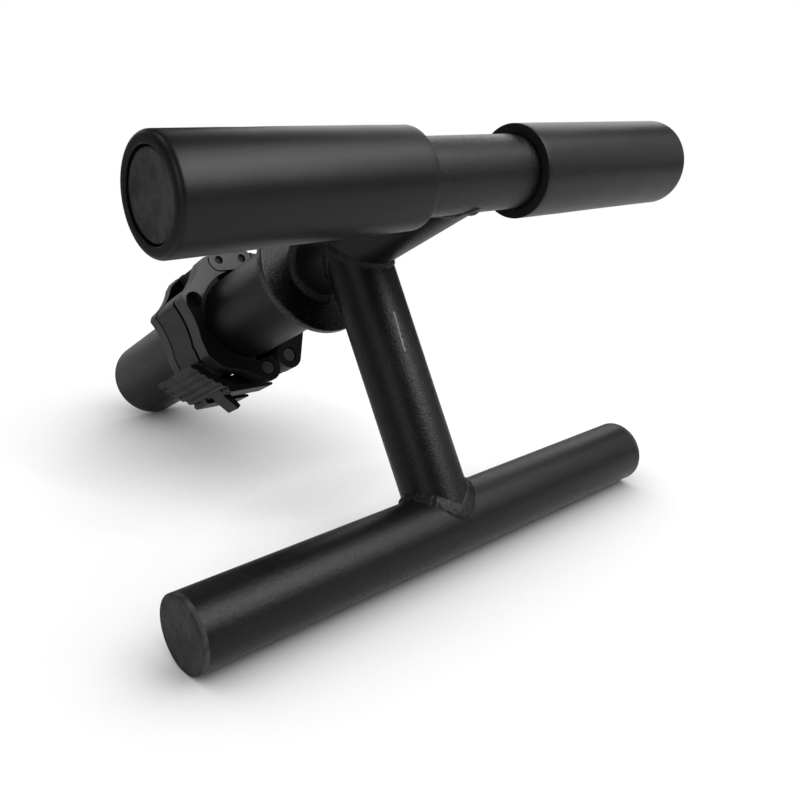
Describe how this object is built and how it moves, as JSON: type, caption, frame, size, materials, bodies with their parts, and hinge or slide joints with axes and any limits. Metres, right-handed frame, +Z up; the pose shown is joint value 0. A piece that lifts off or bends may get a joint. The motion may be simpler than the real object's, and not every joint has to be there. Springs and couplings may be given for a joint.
{
  "type": "tib bar",
  "caption": "Welded tibialis raise bar: foam-covered upper bar, lower bar and an angled plate sleeve with a stop disk and a hinged, lever-locked plate collar.",
  "frame": {"origin": "centre of the footprint on the table that the bar rests on, with its lower bar and the far end of its sleeve touching", "axes": "+X along the two bars, +Y from the foam grips back towards the sleeve's end, +Z up"},
  "size_m": [0.285, 0.3268, 0.1991],
  "materials": {
    "painted_steel": "fine textured black powder coat",
    "painted_sleeve": "fine textured black powder coat, lightly rubbed by plates",
    "painted_disk": "textured black powder coat with worn rim",
    "painted_weld": "rippled bead under black powder coat",
    "foam_rubber": "satin skinned foam rubber",
    "plug_plastic": "matte moulded",
    "jaw_plastic": "matte moulded with a fine grain",
    "lever_plastic": "matte moulded with satin edges",
    "link_plastic": "glossy moulded",
    "pad_rubber": "matte rubber",
    "pin_steel": "blackened steel"
  },
  "bodies": {
    "frame": {"upper_bar_tube": "painted_steel", "lower_bar_tube": "painted_steel", "post_tube": "painted_steel", "spine_tube": "painted_steel", "stop_disk": "painted_disk", "sleeve_tube": "painted_sleeve", "weld_spine_to_upper_bar": "painted_weld", "weld_post_to_spine": "painted_weld", "weld_post_to_lower_bar": "painted_weld", "weld_spine_to_disk": "painted_weld", "foam_grip_left": "foam_rubber", "foam_grip_right": "foam_rubber", "upper_bar_plug_left": "plug_plastic", "upper_bar_plug_right": "plug_plastic", "lower_bar_cap_left": "plug_plastic", "lower_bar_cap_right": "plug_plastic", "sleeve_end_plug": "plug_plastic"},
    "collar_jaw_left": {"collar_jaw_left": "jaw_plastic", "jaw_pad_left": "pad_rubber", "lever_pivot_pins": "pin_steel"},
    "hinge_link": {"hinge_link_near": "link_plastic", "hinge_link_far": "link_plastic", "hinge_pin_left": "pin_steel", "hinge_pin_right": "pin_steel"},
    "collar_jaw_right": {"collar_jaw_right": "jaw_plastic", "jaw_pad_right": "pad_rubber", "catch_pin": "pin_steel"},
    "latch_lever": {"latch_lever": "lever_plastic", "lever_link_pin": "pin_steel"},
    "latch_link": {"latch_link": "lever_plastic"}
  },
  "joints": [
    {"name": "collar_slide", "type": "slide", "parent": "frame", "child": "collar_jaw_left", "axis": [0, 0.882, -0.4713], "range_m": [-0.074, 0.1495]},
    {"name": "lever_swing", "type": "hinge", "parent": "collar_jaw_left", "child": "latch_lever", "pos_m": [0.00371, 0.0292, 0.04966], "axis": [0, -0.882, 0.4713], "range_deg": [0, 65]},
    {"name": "hinge_link_turn", "type": "hinge", "parent": "collar_jaw_left", "child": "hinge_link", "pos_m": [-0.00608, 0.0608, 0.1088], "axis": [0, -0.882, 0.4713], "range_deg": [-0.1, 4]},
    {"name": "right_jaw_turn", "type": "hinge", "parent": "hinge_link", "child": "collar_jaw_right", "pos_m": [0.00906, 0.06049, 0.10822], "axis": [0, -0.882, 0.4713], "range_deg": [-0.1, 4]},
    {"name": "latch_link_turn", "type": "hinge", "parent": "collar_jaw_right", "child": "latch_link", "pos_m": [0.02034, 0.03136, 0.05372], "axis": [0, -0.882, 0.4713], "range_deg": [-1, 30]}
  ],
  "couplings": [
    {"joint": "hinge_link_turn", "follows": "lever_swing", "ratio": 0.0179},
    {"joint": "right_jaw_turn", "follows": "lever_swing", "ratio": 0.0179},
    {"joint": "latch_link_turn", "follows": "lever_swing", "ratio": 0.3008}
  ]
}
